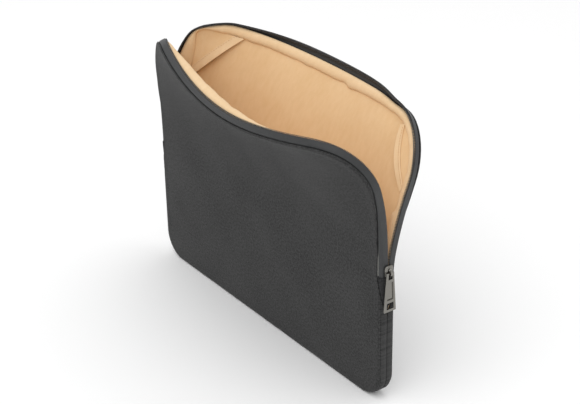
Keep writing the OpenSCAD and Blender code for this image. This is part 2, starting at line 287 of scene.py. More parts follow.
# %% Laying a flat pattern
UV_UNIT = 100.0  # millimetres of cloth to one unit of the UV map


def coordinates(bm):
    """The vertices of a bmesh as an array."""
    return np.array([v.co for v in bm.verts], float).reshape(-1, 3)


def write_uv(bm, flat):
    """Keeps the flat pattern as the UV map, so that threads follow the cloth."""
    uv = bm.loops.layers.uv.new("cut")
    for face in bm.faces:
        for loop in face.loops:
            loop[uv].uv = flat[loop.vert.index] / UV_UNIT


def on_panel(bm, flap_name):
    """A flat pattern of x = u, y = depth, z = v is laid on the bent panel."""
    bm.verts.index_update()
    flat = coordinates(bm)
    write_uv(bm, flat[:, [0, 2]])
    placed = lay(FLAPS[flap_name], flat[:, 0], flat[:, 2], flat[:, 1])
    for vert, place in zip(bm.verts, placed):
        vert.co = place


print(f"one unit of the UV map is {UV_UNIT:.0f} mm of cloth")

# %% From a bmesh to a finished piece
DOUBLES = 0.001  # vertices nearer to each other than this are merged


def finish_piece(bm, name, material):
    """Turns a placed bmesh into an object in metres, at the origin."""
    bmesh.ops.remove_doubles(bm, verts=bm.verts, dist=DOUBLES)
    bmesh.ops.recalc_face_normals(bm, faces=bm.faces)
    bmesh.ops.scale(bm, vec=(MM, MM, MM), verts=bm.verts)
    mesh = bpy.data.meshes.new(name)
    bm.to_mesh(mesh)
    bm.free()
    for polygon in mesh.polygons:
        polygon.use_smooth = True
    mesh.materials.append(material)
    piece = bpy.data.objects.new(name, mesh)
    bpy.context.scene.collection.objects.link(piece)
    print(f"{name}: {len(mesh.polygons)} faces")
    return piece


def linked(parts, kind):
    """The edges, faces or vertices that touch some parts, each once, always in the same order."""
    return list(dict.fromkeys(near for part in parts for near in getattr(part, kind)))


def extrude(bm, faces):
    """Extrudes faces in place, and returns the new vertices for the caller to move."""
    made = bmesh.ops.extrude_face_region(bm, geom=faces)["geom"]
    return [v for v in made if isinstance(v, bmesh.types.BMVert)]


def soften(bm, amount, segments=2, angle=math.radians(35)):
    """Rounds the sharp edges of a casting."""
    sharp = [e for e in bm.edges if e.is_manifold and e.calc_face_angle(0) > angle]
    bmesh.ops.bevel(bm, geom=sharp, offset=amount, segments=segments, profile=0.5,
                    affect="EDGES", material=-1)


def face_outwards(bm, out=(0, -1, 0)):
    """Turns the faces of an open pattern to its outer side, which is -Y in a flat pattern."""
    bmesh.ops.recalc_face_normals(bm, faces=bm.faces)
    if sum(f.normal.dot(Vector(out)) * f.calc_area() for f in bm.faces) < 0:
        bmesh.ops.reverse_faces(bm, faces=bm.faces)


def thicken(bm, amount):
    """Gives a flat pattern a thickness towards the panel's outer face."""
    bmesh.ops.recalc_face_normals(bm, faces=bm.faces)
    bmesh.ops.translate(bm, vec=(0, -amount, 0), verts=extrude(bm, bm.faces[:]))


print(f"vertices within {DOUBLES} mm are merged in every piece")


def bend_at_fold(piece):
    """Bakes a piece's transform into its mesh; the bend at the fold is already in its shape, from lay.
    """
    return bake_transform(piece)


# %% [markdown]
# ## Materials
#
# Each finish starts from what the real one is. Patterns are sized in millimetres of cloth through
# the UV map, so that threads run along the panel and round the rim. Threads finer than the render
# can show are drawn as coarse as they need to be.

# %% Colour and node helpers


def linear(code):
    """An sRGB hex colour as linear RGBA."""
    parts = [int(code[i:i + 2], 16) / 255 for i in (1, 3, 5)]
    return [c / 12.92 if c <= 0.04045 else ((c + 0.055) / 1.055) ** 2.4 for c in parts] + [1.0]


def add(tree, kind, inputs=None, **settings):
    """Adds a node with its settings. A tuple (node, output) in inputs is a link."""
    node = tree.nodes.new(kind)
    for key, value in settings.items():
        setattr(node, key, value)
    for key, value in (inputs or {}).items():
        if isinstance(value, tuple) and isinstance(value[0], bpy.types.Node):
            tree.links.new(value[0].outputs[value[1]], node.inputs[key])
        else:
            node.inputs[key].default_value = value
    return node


def new_material(name):
    """An empty material, its node tree and its surface shader."""
    material = bpy.data.materials.new(name)
    print("finish:", name)
    material.use_nodes = True
    tree = material.node_tree
    return material, tree, tree.nodes["Principled BSDF"]


def cloth_threads(tree, spacing, across=1.0):
    """Height of a plain weave with that thread spacing, and the mapped cloth coordinates."""
    where = add(tree, "ShaderNodeUVMap", uv_map="cut")
    scale = UV_UNIT / spacing
    mapped = add(tree, "ShaderNodeMapping",
                 {"Vector": (where, "UV"), "Scale": (scale, scale * across, 1.0)})
    split = add(tree, "ShaderNodeSeparateXYZ", {"Vector": (mapped, "Vector")})
    waves = []
    for axis in ("X", "Y"):
        turns = add(tree, "ShaderNodeMath", {0: (split, axis), 1: math.pi}, operation="MULTIPLY")
        wave = add(tree, "ShaderNodeMath", {0: (turns, 0)}, operation="SINE")
        waves.append(add(tree, "ShaderNodeMath", {0: (wave, 0)}, operation="ABSOLUTE"))
    height = add(tree, "ShaderNodeMath", {0: (waves[0], 0), 1: (waves[1], 0)}, operation="MULTIPLY")
    return height, where


# %% [markdown]
# ### Canvas
#
# The cover is charcoal polyester canvas in a plain weave, matt and nearly even from a distance.
# A flat colour would look like rubber, and an image of cloth would repeat. Here crossed sine waves
# give the weave, and two sizes of noise give the uneven yarn and a faint mottling. Real threads
# are about 0.4 mm apart, and these are drawn 1.3 mm apart so that the render can show them.

# %% Charcoal canvas
CANVAS_THREAD = 1.3  # thread spacing in mm, coarser than real
YARN_SPECK = 2.0  # size in mm of the lighter and darker spots along a yarn
MOTTLE = 60  # size in mm of the faint clouds over the whole panel


def make_canvas(name, dark, light):
    """Spun yarns catch light unevenly, so the weave is broken up by two sizes of mottling."""
    material, tree, shader = new_material(name)
    weave, where = cloth_threads(tree, CANVAS_THREAD)
    speck = add(tree, "ShaderNodeTexNoise",
                {"Vector": (where, "UV"), "Scale": UV_UNIT / YARN_SPECK, "Detail": 4.0,
                 "Roughness": 0.75})
    cloud = add(tree, "ShaderNodeTexNoise",
                {"Vector": (where, "UV"), "Scale": UV_UNIT / MOTTLE, "Detail": 2.0})
    mix = add(tree, "ShaderNodeMath", {0: (cloud, "Fac"), 1: 0.2, 2: (speck, "Fac")},
              operation="MULTIPLY_ADD")
    both = add(tree, "ShaderNodeMath", {0: (weave, 0), 1: 0.25, 2: (mix, 0)}, operation="MULTIPLY_ADD")
    share = add(tree, "ShaderNodeMapRange",
                {"Value": (both, 0), "From Min": 0.54, "From Max": 0.86})
    ramp = add(tree, "ShaderNodeMix", {"Factor": (share, "Result")}, data_type="RGBA")
    ramp.inputs["A"].default_value = linear(dark)
    ramp.inputs["B"].default_value = linear(light)
    tree.links.new(ramp.outputs["Result"], shader.inputs["Base Color"])
    bump_height = add(tree, "ShaderNodeMath", {0: (speck, "Fac"), 1: 0.6, 2: (weave, 0)},
                      operation="MULTIPLY_ADD")
    bump = add(tree, "ShaderNodeBump",
               {"Height": (bump_height, 0), "Strength": 0.5, "Distance": 0.4 * MM})
    tree.links.new(bump.outputs["Normal"], shader.inputs["Normal"])
    shader.inputs["Roughness"].default_value = 0.86
    shader.inputs["Sheen Weight"].default_value = 0.07
    shader.inputs["Sheen Roughness"].default_value = 0.45
    shader.inputs["Specular IOR Level"].default_value = 0.25
    return material


canvas = make_canvas("charcoal_polyester_canvas", "#191919", "#404040")
tab_canvas = make_canvas("dark_polyester_canvas", "#19191a", "#333334")

# %% [markdown]
# ### Zip tape
#
# Zip tape is a dense polyester ribbon with fine ribs. It is smoother than the canvas, so it reads
# as a slightly glossier and bluer band round the mouth. Its ribs follow the strip's own UV map,
# which is why they turn with it round the corners. They are drawn coarser than the real 0.7 mm.

# %% Zip tape
TAPE_RIB = 1.6  # rib spacing in mm, coarser than real


def make_tape():
    """Ribs run across the tape, and a sheen runs along its woven cords."""
    material, tree, shader = new_material("woven_polyester_zip_tape")
    ribs, where = cloth_threads(tree, TAPE_RIB, across=1.4)
    speck = add(tree, "ShaderNodeTexNoise",
                {"Vector": (where, "UV"), "Scale": UV_UNIT / 3, "Detail": 2.0})
    share = add(tree, "ShaderNodeMath", {0: (ribs, 0), 1: 0.35, 2: (speck, "Fac")},
                operation="MULTIPLY_ADD")
    ramp = add(tree, "ShaderNodeMix", {"Factor": (share, 0)}, data_type="RGBA")
    ramp.inputs["A"].default_value = linear("#1b1c1c")
    ramp.inputs["B"].default_value = linear("#292a2b")
    tree.links.new(ramp.outputs["Result"], shader.inputs["Base Color"])
    bump = add(tree, "ShaderNodeBump",
               {"Height": (ribs, 0), "Strength": 0.4, "Distance": 0.25 * MM})
    tree.links.new(bump.outputs["Normal"], shader.inputs["Normal"])
    shader.inputs["Roughness"].default_value = 0.55
    shader.inputs["Sheen Weight"].default_value = 0.06
    return material


tape_cloth = make_tape()

# %% [markdown]
# ### Brushed lining
#
# The lining is tan polyester velour. Its short nap scatters light softly, lies in faint upright
# streaks where it was stroked, and hides the weave. Hair particles could make the nap, but they
# would cost far more than they show, so stretched noise, a fine bump and a sheen stand for it.
# The cloth on the padded rims and on the strap hems is the same, painted a little lighter as painted
# light, because these raised parts stand up into the light.

# %% Brushed lining
NAP_STREAK = 5  # width in mm of a streak in the nap
NAP_CLOUD = 45  # size in mm of the areas that are stroked one way
NAP_FUZZ = 1.2  # size in mm of tufts, coarser than real


def make_lining(name, dark, light):
    """Brushed fibres scatter light softly, so the sheen is strong and the weave is hidden."""
    material, tree, shader = new_material(name)
    where = add(tree, "ShaderNodeUVMap", uv_map="cut")
    streaks = add(tree, "ShaderNodeMapping", {"Vector": (where, "UV"), "Scale": (1.0, 0.45, 1.0)})
    nap = add(tree, "ShaderNodeTexNoise",
              {"Vector": (streaks, "Vector"), "Scale": UV_UNIT / NAP_STREAK, "Detail": 4.0,
               "Roughness": 0.65})
    cloud = add(tree, "ShaderNodeTexNoise",
                {"Vector": (where, "UV"), "Scale": UV_UNIT / NAP_CLOUD, "Detail": 3.0})
    fuzz = add(tree, "ShaderNodeTexNoise",
               {"Vector": (where, "UV"), "Scale": UV_UNIT / NAP_FUZZ, "Detail": 3.0,
                "Roughness": 0.7})
    both = add(tree, "ShaderNodeMath", {0: (nap, "Fac"), 1: (cloud, "Fac")}, operation="ADD")
    share = add(tree, "ShaderNodeMapRange", {"Value": (both, 0), "From Min": 0.55, "From Max": 1.45})
    ramp = add(tree, "ShaderNodeMix", {"Factor": (share, "Result")}, data_type="RGBA")
    ramp.inputs["A"].default_value = linear(dark)
    ramp.inputs["B"].default_value = linear(light)
    tree.links.new(ramp.outputs["Result"], shader.inputs["Base Color"])
    bump_height = add(tree, "ShaderNodeMath", {0: (nap, "Fac"), 1: 0.8, 2: (fuzz, "Fac")},
                      operation="MULTIPLY_ADD")
    bump = add(tree, "ShaderNodeBump",
               {"Height": (bump_height, 0), "Strength": 0.3, "Distance": 0.5 * MM})
    tree.links.new(bump.outputs["Normal"], shader.inputs["Normal"])
    shader.inputs["Roughness"].default_value = 0.95
    shader.inputs["Specular IOR Level"].default_value = 0.15
    shader.inputs["Sheen Weight"].default_value = 0.2
    shader.inputs["Sheen Roughness"].default_value = 0.5
    shader.inputs["Sheen Tint"].default_value = linear("#f2e2c8")
    return material


lining_cloth = make_lining("tan_brushed_lining", "#d7b386", "#e2c299")
# the same lining cloth painted lighter: painted light on the raised padded rims and strap hems
lit_lining_cloth = make_lining("tan_brushed_lining_on_padding", "#d9b98f", "#e6caa5")

# %% [markdown]
# ### Foam, thread, nylon and nickel
#
# These are plain finishes: closed-cell foam, sewing thread, the smooth nylon of the coil, and a
# polished zinc casting plated in dark nickel. One recipe serves them all. A single roughness would
# give a highlight as even as glass, so a fine grain breaks it up by a few hundredths.

# %% Foam, thread, nylon and nickel


def make_plain(name, colour, roughness, metallic=0.0, grain_mm=1.0, grain=0.15):
    """A moulded or plated finish with a fine grain that breaks up its highlights."""
    material, tree, shader = new_material(name)
    place = add(tree, "ShaderNodeTexCoord")
    speck = add(tree, "ShaderNodeTexNoise",
                {"Vector": (place, "Object"), "Scale": 1 / (grain_mm * MM), "Detail": 3.0})
    rough = add(tree, "ShaderNodeMapRange",
                {"Value": (speck, "Fac"), "To Min": roughness * (1 - grain),
                 "To Max": roughness * (1 + grain)})
    tree.links.new(rough.outputs["Result"], shader.inputs["Roughness"])
    bump = add(tree, "ShaderNodeBump",
               {"Height": (speck, "Fac"), "Strength": 0.15, "Distance": 0.05 * MM})
    tree.links.new(bump.outputs["Normal"], shader.inputs["Normal"])
    shader.inputs["Base Color"].default_value = linear(colour)
    shader.inputs["Metallic"].default_value = metallic
    return material


foam_cell = make_plain("closed_cell_foam", "#8c8c88", 0.9, grain_mm=1.5, grain=0.1)
nylon = make_plain("nylon_monofilament", "#45474a", 0.3, grain_mm=2.0)
thread = make_plain("tan_polyester_thread", "#c99a6b", 0.6, grain_mm=0.6)
nickel = make_plain("polished_gunmetal_nickel", "#7e7c77", 0.13, metallic=1.0, grain_mm=3.0, grain=0.3)
print("materials:", sorted(m.name for m in bpy.data.materials))

# %% [markdown]
# ## Canvas covers
#
# Each panel's cover is one piece of canvas over foam. Its face is slightly crowned, because the
# foam pushes it out between the seams. Along the zip its edge turns in tightly to a deep seam.
# Below the zip's end tab the same edge rolls right over to meet the other panel's canvas.
#
# A subdivided box would give a pillow with soft corners everywhere. A grid whose outline is
# extruded ring by ring keeps the face and the edge as one cloth, and the seam at its true place.

# %% The face of a panel: a grid drawn to a rounded outline
FACE_INSET = 9.0  # where the flat of the face ends and its edge starts to roll


def panel_rows(inset, bottom=9, straight=74, top=15):
    """Heights of the pattern's rows, closer together where the outline turns a corner."""
    low = BOTTOM_R - (BOTTOM_R - inset) * np.cos(np.linspace(0, math.pi / 2, bottom + 1))
    middle = np.linspace(BOTTOM_R, PANEL_H - TOP_R, straight + 1)
    high = PANEL_H - TOP_R + (TOP_R - inset) * np.sin(np.linspace(0, math.pi / 2, top + 1))
    return np.concatenate([low[:-1], middle[:-1], high])


def half_width(v, inset):
    """Half the pattern's width at the height v."""
    radius, centre = corner_of(v)
    r = radius - inset
    into_corner = np.clip(np.where(v > PANEL_H / 2, v - centre, centre - v), 0, r)
    return HALF_W - radius + np.sqrt(np.maximum(r * r - into_corner**2, 0))


def cut_panel(inset, columns=112):
    """A flat grid in the XZ plane with rounded corners."""
    rows = panel_rows(inset)
    bm = bmesh.new()
    bmesh.ops.create_grid(bm, x_segments=columns, y_segments=len(rows) - 1, size=1)
    widths = half_width(rows, inset)
    for vert in bm.verts:
        row = round((vert.co.y + 1) / 2 * (len(rows) - 1))
        vert.co = (vert.co.x * widths[row], 0, rows[row])
    return bm


print(f"a face has {len(panel_rows(FACE_INSET))} rows of vertices")

# %% The way round a panel's edge
# The way starts at the edge of the face, goes out to the corner, round it, and inwards along the
# side of the panel until it meets the other panel. Every edge piece is placed by it.
CORNER_R = 3.0  # radius of the rolled edge
WAY_CORNER = FACE_INSET - CORNER_R
WAY_SIDE = WAY_CORNER + CORNER_R * math.pi / 2
WAY_END = WAY_SIDE + HALF_T - CORNER_R


def edge_point(way, sunk=0.0):
    """Inset and depth at a way round the edge, sunk below the surface."""
    angle = np.clip((way - WAY_CORNER) / CORNER_R, 0, math.pi / 2)
    inset = FACE_INSET - np.minimum(way, WAY_CORNER) - CORNER_R * np.sin(angle)
    depth = CORNER_R * (1 - np.cos(angle)) + np.maximum(way - WAY_SIDE, 0)
    return inset + sunk * np.sin(angle), depth + sunk * np.cos(angle)


def canvas_edge(v):
    """The way at which the canvas ends: at the side seam, at the end tab and along the zip."""
    low = TAB_END
    heights = [low, low + 5, low + 13, low + 21, ZIP_END, ZIP_END + 10, 165, 195, 225]
    ways = [WAY_END - 0.4, 12.0, 8.6, 6.4, 3.2, 3.0, 4.2, 7.6, 9.4]
    knots = np.interp(v + np.linspace(-5, 5, 9)[:, None], heights, ways)
    return knots.mean(axis=0)


print(f"the face ends {FACE_INSET:.0f} mm in, and its edge is {WAY_END:.1f} mm round")

# %% Rolling the edge of a cover
EDGE_RINGS = 6
# After the last ring the canvas goes down into the seam: how much further, and how far sunk
SEAM_TURNS = ((0.0, 0.0), (0.35, 0.5), (0.1, 1.9))


def roll_edge(bm):
    """Extrudes the outline ring by ring: round the edge, then down into the seam."""
    base = bm.verts.layers.float_vector.new("base")
    for vert in bm.verts:
        vert[base] = vert.co
    rim = [e for e in bm.edges if e.is_boundary]
    for step in range(1, EDGE_RINGS + len(SEAM_TURNS)):
        made = bmesh.ops.extrude_edge_only(bm, edges=rim)["geom"]
        rim = [e for e in made if isinstance(e, bmesh.types.BMEdge) and e.is_boundary]
        ring = [v for v in made if isinstance(v, bmesh.types.BMVert)]
        u = np.array([v[base][0] for v in ring])
        v = np.array([v[base][2] for v in ring])
        x, z = outward(u, v)
        further, sunk = SEAM_TURNS[max(step - EDGE_RINGS, 0)]
        way = canvas_edge(v) * min(step / EDGE_RINGS, 1) + further
        inset, depth = edge_point(way, sunk)
        out = FACE_INSET - inset
        for i, vert in enumerate(ring):
            vert.co = (u[i] + x[i] * out[i], depth[i], v[i] + z[i] * out[i])


print(f"the edge rolls in {EDGE_RINGS} rings, and the seam takes {len(SEAM_TURNS) - 1} more")

# %% Crowning and denting a cover
DENT_DEPTH = 1.3
DENT_AT = (152, ZIP_END + 4)
DENT_SIZE = (20, 7)
CROWN_RUN = 14  # distance from the seam over which the crown rises


def dent_depth(u, v):
    """A soft dent beside the end of the zip, where the foam gives under the hand."""
    across, up = (u - DENT_AT[0]) / DENT_SIZE[0], (v - DENT_AT[1]) / DENT_SIZE[1]
    return DENT_DEPTH * math.exp(-across**2 - up**2)


def puff(bm, amount, seed, wave=0.7):
    """Foam crowns the cloth outwards away from the seams, and it is never quite even."""
    flat = coordinates(bm)
    inside = np.clip(inset_of(flat[:, 0], flat[:, 2]) - FACE_INSET, 0, None)
    crown = amount * (1 - np.exp(-inside / CROWN_RUN))
    for vert, push in zip(bm.verts, crown):
        if push == 0:
            continue
        slow = noise.noise(Vector((vert.co.x / 95, vert.co.z / 70, seed)))
        quick = noise.noise(Vector((vert.co.x / 30, vert.co.z / 26, seed + 9)))
        vert.co.y -= push * (1 + wave * slow + wave * 0.3 * quick)
        vert.co.y += dent_depth(vert.co.x, vert.co.z)


print(f"a dent {DENT_DEPTH} mm deep lies beside the zip's end at {DENT_AT[0]}, {DENT_AT[1]:.0f}")

# %% The two canvas covers
CANVAS_T = 0.8
CANVAS_CROWN = 1.1


def make_cover(flap_name, seed):
    """Canvas cover of one panel."""
    bm = cut_panel(FACE_INSET)
    roll_edge(bm)
    puff(bm, CANVAS_CROWN, seed)
    face_outwards(bm)
    bmesh.ops.solidify(bm, geom=bm.faces[:], thickness=CANVAS_T)
    on_panel(bm, flap_name)
    return finish_piece(bm, flap_name + "_canvas_cover", canvas)


front_cover = make_cover("front", 3.0)
back_cover = make_cover("back", 7.0)
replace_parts(front_cover, "front_cover_upper", "lower_cover")
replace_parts(back_cover, "back_cover_upper")
bend_at_fold(front_cover)
bend_at_fold(back_cover)

# %% [markdown]
# ## Foam and lining
#
# A 3 mm sheet of foam gives each panel its body. It is hidden, but it is what the cloth is pulled
# over, so it is a real piece here. The brushed lining lies on it and is only a little crowned, so
# that it reads as cloth over padding. A cloth simulation could find the crown, and a formula gives
# the same every time.

# %% Foam sheets
FOAM_INSET = 5.4
FOAM_DEPTH = 1.3
FOAM_T = 2.9


def make_foam(flap_name):
    """The foam sheet of one panel, whole across the fold."""
    bm = cut_panel(FOAM_INSET, columns=80)
    for vert in bm.verts:
        vert.co.y = FOAM_DEPTH
    bmesh.ops.recalc_face_normals(bm, faces=bm.faces)
    bmesh.ops.translate(bm, vec=(0, FOAM_T, 0), verts=extrude(bm, bm.faces[:]))
    on_panel(bm, flap_name)
    piece = finish_piece(bm, flap_name + "_foam", foam_cell)
    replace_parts(piece, flap_name + "_padding_upper", flap_name + "_padding_lower")
    return bend_at_fold(piece)


make_foam("front")
make_foam("back")

# %% Lining sheets
LINING_DEPTH = 4.6
LINING_INSET = 7.5
LINING_T = 0.7
LINING_CROWN = 0.5
RIM_COVERS = 13  # the rim lies on the lining up to this inset, and holds it flat


def make_lining_sheet(flap_name, seed):
    """Brushed lining of one panel, from under its padded rim on every side."""
    bm = cut_panel(LINING_INSET, columns=100)
    flat = coordinates(bm)
    inside = np.clip(inset_of(flat[:, 0], flat[:, 2]) - RIM_COVERS, 0, None)
    crown = LINING_CROWN * (1 - np.exp(-inside / 12))
    for vert, push in zip(bm.verts, crown):
        slow = noise.noise(Vector((vert.co.x / 60, vert.co.z / 45, seed)))
        vert.co.y = LINING_DEPTH + 0.8 + push * (1 + 0.8 * slow)
    bmesh.ops.translate(bm, vec=(0, -LINING_T, 0), verts=extrude(bm, bm.faces[:]))
    on_panel(bm, flap_name)
    return finish_piece(bm, flap_name + "_lining", lining_cloth)


front_lining = make_lining_sheet("front", 1.0)
back_lining = make_lining_sheet("back", 5.0)
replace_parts(front_lining, "front_lining_upper", "lining_lower")
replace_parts(back_lining, "back_lining_upper")
bend_at_fold(front_lining)
bend_at_fold(back_lining)

# %% [markdown]
# ## Padded rims
#
# A soft roll runs right round the inside of each panel. It is one long tube of lining cloth over
# a strip of foam. A curve with a bevel would make a round hose of one size. This roll changes its
# width and its height, so it is drawn as a straight grid and wrapped twice: across, round its own
# cross-section, and along, round the panel's closed outline.

# %% A closed walk round the whole panel


def loop_place(a, inset):
    """The flat place a round the whole outline, from the middle of the top edge clockwise."""
    quarter_top, quarter_low = math.pi / 2 * TOP_R, math.pi / 2 * BOTTOM_R
    half_top, half_low = HALF_W - TOP_R, HALF_W - BOTTOM_R
    side = PANEL_H - TOP_R - BOTTOM_R
    ends = np.cumsum([half_top, quarter_top, side, quarter_low, half_low])
    a, mirrored = np.where(a > ends[4], 2 * ends[4] - a, a), np.where(a > ends[4], -1.0, 1.0)
    rt, rl = TOP_R - inset, BOTTOM_R - inset
    t1, t2 = (a - ends[0]) / TOP_R, (a - ends[2]) / BOTTOM_R
    choices = [a < ends[0], a < ends[1], a < ends[2], a < ends[3]]
    u = np.select(choices, [a, half_top + rt * np.sin(t1), HALF_W - inset,
                            half_low + rl * np.cos(t2)], half_low - (a - ends[3]))
    v = np.select(choices, [PANEL_H - inset, PANEL_H - TOP_R + rt * np.cos(t1),
                            PANEL_H - TOP_R - (a - ends[1]), BOTTOM_R - rl * np.sin(t2)], inset)
    return u * mirrored, v


LOOP_LENGTH = 2 * (2 * HALF_W - TOP_R - BOTTOM_R + PANEL_H - TOP_R - BOTTOM_R
                   + math.pi / 2 * (TOP_R + BOTTOM_R))
print(f"each padded rim is {LOOP_LENGTH:.0f} mm long")

# %% How wide and how high the roll is
# The cross-section: inset from the outline, and depth from the panel's outer face
RIM_SECTION = [(1.7, 4.5), (1.6, 5.9), (2.6, 7.0), (4.6, 7.6), (7.0, 7.7), (9.4, 7.4),
               (11.0, 6.6), (11.8, 5.6), (11.2, 4.9), (8.0, 4.55), (4.5, 4.5)]
SECTION_START = min(inset for inset, _ in RIM_SECTION)
SECTION_W = max(inset for inset, _ in RIM_SECTION)
CREASE_SIDE, CREASE_TOP = 155.0, 254.0  # where the back rim's crease runs in the left corner
ROLL_LEAST = 4.2  # the least inset of the roll's inner edge
SHRINK_RIGHT = 2.5  # how much narrower the roll is towards the upper right corner


def rim_width(flap_name, u, v):
    """Width of the roll at a place on the outline. The left strap squeezes it at its corner."""
    width = np.full_like(u, SECTION_W)
    if flap_name == "front":
        return width
    right_side = (u > 0) & (v > PANEL_H - TOP_R - 30)
    width = np.where(right_side, SECTION_W - SHRINK_RIGHT * np.clip((u - 60) / 60, 0, 1), width)
    x = np.maximum(-u - (HALF_W - TOP_R), 1e-6) / TOP_R
    z = np.maximum(v - (PANEL_H - TOP_R), 1e-6) / TOP_R
    to_side = TOP_R - (CREASE_SIDE - HALF_W + TOP_R) / x
    to_top = TOP_R - (CREASE_TOP - PANEL_H + TOP_R) / z
    corner = np.maximum(np.maximum(to_side, to_top), ROLL_LEAST)
    in_corner = (-u > HALF_W - TOP_R) & (v > PANEL_H - TOP_R)
    below = np.clip((v - 150) / (PANEL_H - TOP_R - 150), 0, 1)
    side = SECTION_W + (HALF_W - CREASE_SIDE - SECTION_W) * below**2
    on_side = (u < -HALF_W + 2) & (v <= PANEL_H - TOP_R)
    return np.where(in_corner, corner, np.where(on_side, side, width))


def plumpness(flap_name, u, v):
    """How much higher the roll stands where the open cloth stops pressing on it."""
    open_share = np.clip((v - FOLD - 15) / 60, 0, 1)
    if flap_name == "front":
        to_right = np.clip((95 - u) / 110, 0, 1)
        to_left = np.clip((u + 165) / 90, 0, 1)
        return open_share * (1.3 + 7.4 * to_right * to_left)
    return open_share * 1.1


print(f"the roll is {SECTION_W - SECTION_START:.0f} mm wide where nothing squeezes it")

# %% The roll's puckers and its one gather
INNER_HALF = 6  # inset from which the roll's cloth can move sideways
GATHER_U = 41  # where the roll's cloth was eased in, along the back's top edge
GATHER_SIZE = 7
GATHER_SIDEWAYS = 2.6
GATHER_DOWN = 1.0


def puckers(a, u, v, seed):
    """Long waves round the whole roll, and small puckers in the cloth, each from -1 to 1."""
    around = a / LOOP_LENGTH * math.tau
    long_waves = [noise.noise(Vector((math.cos(t) * 9, math.sin(t) * 9, seed))) for t in around]
    small = [noise.noise(Vector((x / 9, z / 9, seed + 4))) for x, z in zip(u, v)]
    return np.array(long_waves), np.array(small)


def ease_in(u, v, inset, depth, high):
    """Pulls the roll's cloth together at one place in the back's top edge."""
    near = (u - GATHER_U) / GATHER_SIZE
    on_top = v > PANEL_H - 2
    sideways = GATHER_SIDEWAYS * near * np.exp(-near**2) * (inset > INNER_HALF)
    down = GATHER_DOWN * np.exp(-(near * 1.6)**2) * high
    return inset + on_top * sideways, depth - on_top * down


print(f"the back roll is gathered {GATHER_U} mm right of the middle")

# %% The two padded rims


def make_rim(flap_name, seed, along=420):
    """One padded rim. Its cloth puckers a little all round, and the back's is gathered once along its
    top edge, as sewn rolls are.
    """
    bm = bmesh.new()
    n = len(RIM_SECTION)
    bmesh.ops.create_grid(bm, x_segments=along, y_segments=n, size=1)
    section = np.array(RIM_SECTION + RIM_SECTION[:1])
    grid = coordinates(bm)
    a = (grid[:, 0] + 1) / 2 * LOOP_LENGTH
    column = np.rint((grid[:, 1] + 1) / 2 * n).astype(int)
    inset, depth = section[column, 0].copy(), section[column, 1].copy()
    u, v = loop_place(a % LOOP_LENGTH, 0 * a)
    width = rim_width(flap_name, u, v)
    share = (width - SECTION_START) / (SECTION_W - SECTION_START)
    inset = SECTION_START + (inset - SECTION_START) * share
    high = np.clip((depth - 5.2) / 2.5, 0, 1)
    loose = np.clip((v - FOLD) / 50, 0, 1)
    depth += high * plumpness(flap_name, u, v) * np.sqrt(np.clip(width / SECTION_W, 0, 1))
    long_waves, small = puckers(a, u, v, seed)
    depth += high * loose * (0.45 * long_waves + 0.4 * small)
    inset += (0.6 * long_waves + 0.45 * small) * (inset > INNER_HALF) * (high > 0)
    if flap_name == "back":
        inset, depth = ease_in(u, v, inset, depth, high)
    u, v = loop_place(a % LOOP_LENGTH, inset)
    bm.verts.index_update()
    write_uv(bm, np.stack([a, column * 2.2], axis=1))
    placed = lay(FLAPS[flap_name], u, v, depth)
    for vert, place in zip(bm.verts, placed):
        vert.co = place
    piece = finish_piece(bm, flap_name + "_padded_rim", lit_lining_cloth)
    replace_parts(piece, flap_name + "_rim_pad_upper", flap_name + "_rim_pad_lower")
    return bend_at_fold(piece)


make_rim("front", 2.0)
make_rim("back", 6.0)

# %% [markdown]
# ## Zip
#
# The tape is a woven ribbon sewn into the edge of each panel, and the coil is a nylon thread
# wound into a flat spiral along its free edge. A bump pattern could stand for the coil, but its
# turns show against the light at the rim. So it is a real helix: one spin of a small circle draws
# a turn, an Array modifier repeats it, and the whole straight coil is then sewn round the rim.

# %% Where the tape lies
TAPE_SEWN = 0.3  # inset at which the tape leaves the panel's edge
TAPE_D0 = 2.8  # depth at that place
WAY_TAPE = WAY_SIDE - 0.2  # way at that place
TAPE_W = 5.2
TAPE_T = 0.5
# How far the open tape stands out of the edge, and the share of that which is left in the corners
STAND = {"front": math.radians(8), "back": math.radians(58)}
STAND_IN_CORNER = 0.25
TAPE_SPREAD = 0.22  # how much wider the tape lies where the flap bends away
TUCK = 1.7  # how far the tape's sewn edge goes down under the canvas


def stand_angle(flap_name, a):
    """How far the open tape stands out of the panel's edge. The back's top edge stands most."""
    u, v = rim_place(a, 0 * a)
    from_fold = np.clip((v - FOLD - 4) / 70, 0, 1)
    if flap_name == "front":
        return STAND["front"] * from_fold
    along_top = np.exp(-((u - 15) / 105) ** 4)
    return STAND["back"] * from_fold * (STAND_IN_CORNER + (1 - STAND_IN_CORNER) * along_top)


def across_tape(flap_name, a, way, off):
    """Inset and depth of a point that is way across the tape and off its face, to the inside."""
    angle = stand_angle(flap_name, a)
    _, v = rim_place(a, 0 * a)
    widen = 1 + TAPE_SPREAD * np.clip((v - FOLD - 5) / 50, 0, 1)
    free = np.maximum(way, 0)
    inset = TAPE_SEWN - free * widen * np.sin(angle) + off * np.cos(angle)
    depth = TAPE_D0 + free * widen * np.cos(angle) + off * np.sin(angle)
    sunk = TAPE_SEWN + 0.5 * np.clip(-way / 3, 0, 1)
    wrapped_inset, wrapped_depth = edge_point(WAY_TAPE + way, sunk + off)
    return np.where(way < 0, wrapped_inset, inset), np.where(way < 0, wrapped_depth, depth)


def sew_along(bm, flap_name):
    """A strip of x = along, y = off the tape's face, z = way across it is sewn round the rim."""
    bm.verts.index_update()
    flat = coordinates(bm)
    write_uv(bm, np.stack([flat[:, 0], flat[:, 2] + flat[:, 1]], axis=1))
    inset, depth = across_tape(flap_name, flat[:, 0], flat[:, 2], flat[:, 1])
    u, v = rim_place(flat[:, 0], inset)
    placed = lay(FLAPS[flap_name], u, v, depth)
    for vert, place in zip(bm.verts, placed):
        vert.co = place


print(f"the back tape stands {math.degrees(STAND['back']):.0f} degrees out of the edge")

